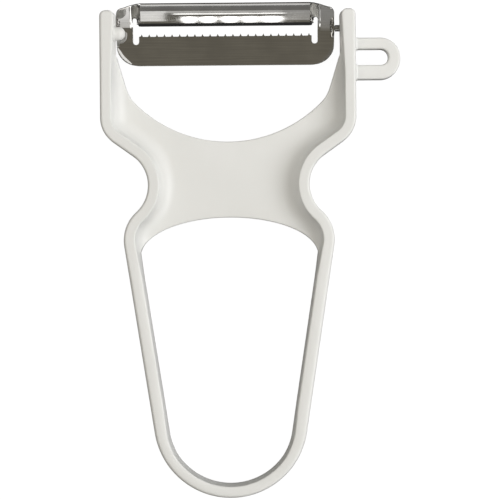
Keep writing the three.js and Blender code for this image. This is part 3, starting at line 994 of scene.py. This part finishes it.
def blade_shell():
    """Front and back of the sheet on one flat mesh, joined round the outline and round the throat."""
    shell = Shell()
    points, edges, rings = [], [], []
    for outline, inwards in ((blank_outline(), 1.0), (throat_outline(), -1.0)):
        inner = inset(outline, CUT_ROUND, inwards)
        first = len(points)
        points += [Vector(p) for p in inner]
        edges += [(first + i, first + (i + 1) % len(inner)) for i in range(len(inner))]
        rings.append((first, np.array(outline), inner))
    blank, throat = rings[0][2], rings[1][2]
    border = np.array([tuple(p) for p in points])
    for x, y in mesh_places():
        if within(x, y, blank) and not within(x, y, throat):
            if np.hypot(*(border - (x, y)).T).min() > BORDER_GAP:
                points.append(Vector((x, y)))
    made = delaunay_2d_cdt(points, edges, [], FILL_INSIDE, FILL_NEAR)
    source = [group[0] for group in made[3]]
    front = shell.column([sheet_point(*points[i], 0.0) for i in source])
    back = shell.column([sheet_point(*points[i], GAUGE) for i in source])
    for face in made[2]:
        centre = sum((points[source[i]] for i in face), Vector((0, 0))) / len(face)
        if not within(*centre, throat):
            shell.faces.append(tuple(front[i] for i in face))
            shell.faces.append(tuple(back[i] for i in reversed(face)))
    corner = {index: k for k, index in enumerate(source)}
    for first, outline, inner in rings:
        columns = []
        for i, (edge, start) in enumerate(zip(outline, inner)):
            at = corner[first + i]
            columns.append([front[at], *shell.column(cut_edge(edge, start)), back[at]])
        for left, right in zip(columns, columns[1:] + columns[:1]):
            shell.between(left, right)
    return shell


LUG_STATIONS = 34
LUG_SLOPE = 1.2
LUG_FOOT = 0.02
LUG_LEAST = 0.3
LUG_LIP = 0.01
LUG_EASE = 0.1
LUG_LAP = 1.1


def turned_edge_shell(side):
    """The lug that is turned forward at one end to carry the pin: tall at the pivot, low at its two sides."""
    shell = Shell()
    columns = []
    for y in np.linspace(-LUG_HALF, LUG_HALF, LUG_STATIONS):
        base = blade_front(side * BLADE_HALF, y)
        rise = smooth_step((LUG_HALF - abs(y)) / LUG_SLOPE)
        tall = LUG_FOOT + max(FLANGE_FRONT - base, LUG_LEAST) * rise
        bend = min(FLANGE_BEND, tall)
        outer = GAUGE + bend
        top = max(tall, bend + LUG_LIP)
        ease = min(LUG_EASE, top / 3)
        section = [(-LUG_LAP, 0.0), (-outer, 0.0)]
        section += [(bend * math.sin(t) - outer, bend * (1 - math.cos(t))) for t in quarter(6)[1:]]
        section += [(-GAUGE, top - ease), (ease - GAUGE, top), (-ease, top), (0.0, top - ease)]
        section += [(outer * math.cos(t) - outer, bend - outer * math.sin(t)) for t in quarter(7)]
        section += [(-LUG_LAP, -GAUGE)]
        columns.append(shell.column([(side * (BLADE_HALF + o), y, base + w) for o, w in section]))
    for left, right in zip(columns[:-1], columns[1:]):
        shell.between(left + left[:1], right + right[:1])
    shell.faces.append(tuple(reversed(columns[0])))
    shell.faces.append(tuple(columns[-1]))
    return shell


STREAK_DARK = 0.9
STREAK_LIGHT = 1.08


def rolled_steel(name, tint, streak, shine):
    """Rolled or turned stainless steel: fine streaks along one direction, in gloss, tint and relief."""
    material, tree, shader, node = new_material(name)
    place = node("ShaderNodeTexCoord").outputs["Object"]
    stretched = node("ShaderNodeMapping", Vector=place, Scale=streak).outputs["Vector"]
    lines = node("ShaderNodeTexNoise", Vector=stretched, Scale=1.0, Detail=4.0, Roughness=0.65)
    streaks = lines.outputs["Fac"]
    patches = node("ShaderNodeTexNoise", Vector=place, Scale=120.0, Detail=2.0, Roughness=0.5).outputs["Fac"]
    mixed = node("ShaderNodeMath", {"operation": "MULTIPLY"})
    tree.links.new(streaks, mixed.inputs[0])
    tree.links.new(patches, mixed.inputs[1])
    dark = tuple(v * STREAK_DARK for v in tint)
    light = tuple(min(1.0, v * STREAK_LIGHT) for v in tint)
    colour = ramp(node("ShaderNodeValToRGB", Fac=mixed.outputs["Value"]), [(0.15, dark), (0.36, light)])
    gloss = node("ShaderNodeMapRange", Value=mixed.outputs["Value"], From_Min=0.15, From_Max=0.4,
                 To_Min=shine[0], To_Max=shine[1])
    bump = node("ShaderNodeBump", Strength=0.2, Distance=0.000004, Height=streaks)
    tree.links.new(colour.outputs["Color"], shader.inputs["Base Color"])
    tree.links.new(gloss.outputs["Result"], shader.inputs["Roughness"])
    tree.links.new(bump.outputs["Normal"], shader.inputs["Normal"])
    shader.inputs["Metallic"].default_value = 1.0
    return material


BLADE_TINT = (0.56, 0.552, 0.538)
BLADE_STREAK = (60.0, 2600.0, 2600.0)
BLADE_SHINE = (0.03, 0.06)
BLADE_CREASE = 24.0
TURNED_CREASE = 30.0

blade_steel = rolled_steel("rolled_blade_steel", BLADE_TINT, BLADE_STREAK, BLADE_SHINE)
blade = placed("pressed_blade", blade_shell().mesh("pressed_blade", PIVOT, BLADE_CREASE))
for side, name in ((-1, "left_turned_edge"), (1, "right_turned_edge")):
    edge_piece = placed(name, turned_edge_shell(side).mesh("turned_edge", PIVOT, TURNED_CREASE))
    edge_piece.data.materials.append(blade_steel)
    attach(edge_piece, "swivelling_blade")
blade.data.materials.append(blade_steel)
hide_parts("blade")
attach(blade, "swivelling_blade")


# Pivot pins.
# Turned steel rivets: a low domed head inside the blade's end, a neck that is closed in its hole, and a
# journal with an eased end that turns in the arm.

PIN_RADIUS = 0.85
PIN_NECK = 0.55
PIN_HEAD = 1.1
PIN_HEAD_RISE = 0.5
PIN_HEAD_RIM = 0.25
PIN_SEAT = 0.15
PIN_CHAMFER = 0.08
PIN_EASE = 0.2
PIN_SIDES = 56
JOURNAL_DEPTH = 2.4
LEFT_GAP = 0.3
RIGHT_GAP = 1.6
PIN_TINT = (0.36, 0.355, 0.345)
PIN_STREAK = (3200.0, 90.0, 90.0)
PIN_SHINE = (0.24, 0.4)


def pin_shell(journal_end):
    """The right pin along X, from the middle of its head to the end of its journal."""
    inside = BLADE_HALF - GAUGE - PIN_SEAT
    outside = BLADE_HALF + PIN_SEAT
    crown = 1 - PIN_HEAD_RIM
    dome = [(PIN_HEAD * math.sin(t), inside - PIN_HEAD_RISE * (PIN_HEAD_RIM + crown * math.cos(t)))
            for t in quarter(9)]
    shank = [(PIN_HEAD, inside), (PIN_NECK, inside), (PIN_NECK, outside), (PIN_RADIUS - PIN_CHAMFER, outside),
             (PIN_RADIUS, outside + PIN_CHAMFER)]
    end = [(PIN_RADIUS - PIN_EASE * (1 - math.cos(t)), journal_end - PIN_EASE * (1 - math.sin(t)))
           for t in quarter(5)]
    return turned_shell(dome + shank + end + [(0.0, journal_end)], PIN_SIDES)


pin_steel = rolled_steel("turned_pin_steel", PIN_TINT, PIN_STREAK, PIN_SHINE)
for node_name, side, gap in (("left_pivot_pin", -1, LEFT_GAP), ("right_pivot_pin", 1, RIGHT_GAP)):
    shell = pin_shell(BLADE_HALF + gap + JOURNAL_DEPTH)
    shell.points = [(side * x, y, z) for x, y, z in shell.points]
    pin = placed("turned_" + node_name, shell.mesh(node_name, PIVOT, TURNED_CREASE))
    pin.data.materials.append(pin_steel)
    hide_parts(node_name)
    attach(pin, "swivelling_blade")


# Floor.
# A plain white table that is lit well enough to leave hardly any shadow. It neither shows in the steel nor
# lights the plastic, so the inner walls of the finger loop stay dark.

FLOOR_HALF = 3.0
FLOOR_DROP = 0.0003
FLOOR_GLOW = 0.97
FLOOR_SHADE = 0.08
FLOOR_LIGHT = 0.1


def white_table():
    material, tree, shader, node = new_material("white_table")
    place = node("ShaderNodeTexCoord").outputs["Object"]
    clouds = node("ShaderNodeTexNoise", Vector=place, Scale=9.0, Detail=3.0).outputs["Fac"]
    tint = ramp(node("ShaderNodeValToRGB", Fac=clouds), [(0.3, FLOOR_SHADE), (0.7, FLOOR_LIGHT)])
    tree.links.new(tint.outputs["Color"], shader.inputs["Base Color"])
    shader.inputs["Roughness"].default_value = 0.8
    shader.inputs["Emission Color"].default_value = (1.0, 1.0, 1.0, 1.0)
    shader.inputs["Emission Strength"].default_value = FLOOR_GLOW
    return material


floor_data = bpy.data.meshes.new("table_top")
floor_data.from_pydata([(-FLOOR_HALF, -FLOOR_HALF, 0), (FLOOR_HALF, -FLOOR_HALF, 0),
                        (FLOOR_HALF, FLOOR_HALF, 0), (-FLOOR_HALF, FLOOR_HALF, 0)], [], [(0, 1, 2, 3)])
floor = placed("table_top", floor_data)
floor.location.z = -FLOOR_DROP
floor.visible_glossy = False
floor.visible_diffuse = False
floor.data.materials.append(white_table())


# Light.
# A large soft box to the right of the table, a weaker and warmer one to the left, and a broad weak one beyond
# the blade.

AIM = (0.005, 0.065, 0.006)
PLAIN_WHITE = (1.0, 1.0, 1.0)
COOL_WHITE = (0.99, 0.99, 1.0)
WARM_WHITE = (1.0, 0.97, 0.93)


def soft_box(name, place, aim, size, power, colour=PLAIN_WHITE):
    data = bpy.data.lights.new(name, "AREA")
    data.color = colour
    data.shape = "RECTANGLE"
    data.size, data.size_y = size
    data.energy = power
    lamp = placed(name, data)
    lamp.location = place
    lamp.rotation_mode = "QUATERNION"
    lamp.rotation_quaternion = (Vector(aim) - Vector(place)).to_track_quat("-Z", "Y")
    lamp.visible_camera = False
    return lamp


soft_box("right_box", (0.60, 0.03, 0.52), AIM, size=(0.34, 0.5), power=3.9, colour=COOL_WHITE)
soft_box("left_box", (-0.40, 0.12, 0.68), AIM, size=(0.3, 0.5), power=1.75, colour=WARM_WHITE)
soft_box("far_box", (0.40, 0.50, 0.405), AIM, size=(0.62, 0.62), power=1.3)


# Reflectors for the steel.
# The blade's upper half leans forward, so it mirrors what stands low beyond the butt of the handle: panels at
# both ends, and between them strip lamps over a row of five small lamps. Two low cards serve the joggles.

REFLECTOR_DISTANCE = 350.0
BAR_PLACE = Vector((0.0, 123.5, 5.0))
JOGGLE_PLACE = (0.026, 0.123, 0.005)
LOW_CARD_PLACE = (0.168, -0.176, 0.15)
LOW_CARD_SIZE = (0.25, 0.18)
PANEL_ANGLES = (55.0, 71.0)
LEFT_END_BANDS = ((55.0, 0.62), (66.0, 0.11), (67.5, 0.11), (69.0, 0.11), (70.5, 0.11))
LEFT_END_TOP = 89.0
RIGHT_END_BANDS = ((16.0, 28.0, 0.05), (28.0, 42.0, 0.1), (42.0, 84.0, 0.15))
SMALL_LAMPS = ((-17.7, 6.3), (-10.3, 6.8), (-1.7, 7.2), (6.0, 6.6), (14.6, 8.8))
SMALL_LAMP_ANGLES = (57.0, 62.7)
SMALL_LAMP_FOOT = (50.0, 63.0)
LAMP_BRIGHTNESS = 1.9


def reflecting_card(name, place, aim, size, brightness):
    """A card that the steel mirrors and that doesn't light the plastic."""
    card = soft_box(name, place, aim, size, brightness * math.pi * size[0] * size[1])
    card.visible_diffuse = False
    return card


def reflector(name, middle_x, width, low, high, brightness):
    """A card that the bar mirrors. Low and high are its angles from upright, in degrees."""
    angle = math.radians((low + high) / 2)
    place = BAR_PLACE + REFLECTOR_DISTANCE * Vector((0.0, -math.sin(angle), math.cos(angle)))
    place.x = middle_x
    height = REFLECTOR_DISTANCE * math.radians(high - low)
    aim = Vector((middle_x, BAR_PLACE.y, BAR_PLACE.z))
    return reflecting_card(name, place * MM, aim * MM, (width * MM, height * MM), brightness)


reflector("left_panel", -33.5, 12.0, *PANEL_ANGLES, brightness=0.93)
for low, brightness in LEFT_END_BANDS:
    reflector("left_end_panel", -52.0, 24.0, low, LEFT_END_TOP, brightness)
reflector("right_panel", 26.0, 13.0, *PANEL_ANGLES, brightness=0.27)
for low, high, brightness in RIGHT_END_BANDS:
    reflector("right_end_panel", 43.0, 20.0, low, high, brightness)
reflector("top_strip", -4.0, 68.0, low=77.5, high=84.0, brightness=0.8)
reflector("upper_strip", -4.5, 47.0, low=68.2, high=71.0, brightness=0.5)
reflector("strip_lamp", -2.2, 43.5, low=65.9, high=67.7, brightness=LAMP_BRIGHTNESS)
for k, (middle_x, width) in enumerate(SMALL_LAMPS):
    reflector(f"small_lamp_{k}", middle_x, width, *SMALL_LAMP_ANGLES, LAMP_BRIGHTNESS)
    foot = reflector(f"small_lamp_foot_{k}", middle_x, width, *SMALL_LAMP_FOOT, LAMP_BRIGHTNESS)
    foot.data.shape = "ELLIPSE"
for name, side, brightness in (("low_right_card", 1, 2.5), ("low_left_card", -1, 0.17)):
    place = (side * LOW_CARD_PLACE[0], *LOW_CARD_PLACE[1:])
    aim = (-side * JOGGLE_PLACE[0], *JOGGLE_PLACE[1:])
    reflecting_card(name, place, aim, LOW_CARD_SIZE, brightness)


# Room.
# A dim brownish room, darkest below the table's edge. The plate lies flat and mirrors its ceiling.

BELOW = 0.04
DUSK = 0.15
HORIZON = 0.24
WALLS = (0.2, 0.19, 0.165)
CEILING = (0.19, 0.175, 0.142)
ROOM_SHADES = [(0.5, BELOW), (0.56, DUSK), (0.58, HORIZON), (0.75, WALLS), (1.0, CEILING)]

world = bpy.data.worlds.new("room")
world.use_nodes = True
room_nodes = world.node_tree.nodes
up = room_nodes.new("ShaderNodeSeparateXYZ")
shade = ramp(room_nodes.new("ShaderNodeValToRGB"), ROOM_SHADES)
half_up = room_nodes.new("ShaderNodeMapRange")
half_up.inputs["From Min"].default_value = -1.0
world.node_tree.links.new(room_nodes.new("ShaderNodeTexCoord").outputs["Generated"], up.inputs["Vector"])
world.node_tree.links.new(up.outputs["Z"], half_up.inputs["Value"])
world.node_tree.links.new(half_up.outputs["Result"], shade.inputs["Fac"])
world.node_tree.links.new(shade.outputs["Color"], room_nodes["Background"].inputs["Color"])
bpy.context.scene.world = world
bpy.context.scene.view_settings.view_transform = "Standard"


# Camera.
# Straight above the tool, as it was photographed, and turned by half a degree. It stands far off, so only a
# little of the inner walls shows.

CAMERA_X = 0.00536
CAMERA_Y = 0.06262
CAMERA_HEIGHT = 0.709
CAMERA_TURN = math.radians(-0.49)
PICTURE_WIDTH = 0.13055
PICTURE_LEVEL = 0.009
SENSOR_WIDTH = 36.0

camera_data = bpy.data.cameras.new("camera")
camera_data.sensor_width = SENSOR_WIDTH
camera_data.lens = SENSOR_WIDTH * (CAMERA_HEIGHT - PICTURE_LEVEL) / PICTURE_WIDTH
camera = placed("camera", camera_data)
camera.location = (CAMERA_X, CAMERA_Y, CAMERA_HEIGHT)
camera.rotation_euler = (0.0, 0.0, CAMERA_TURN)
bpy.context.scene.camera = camera
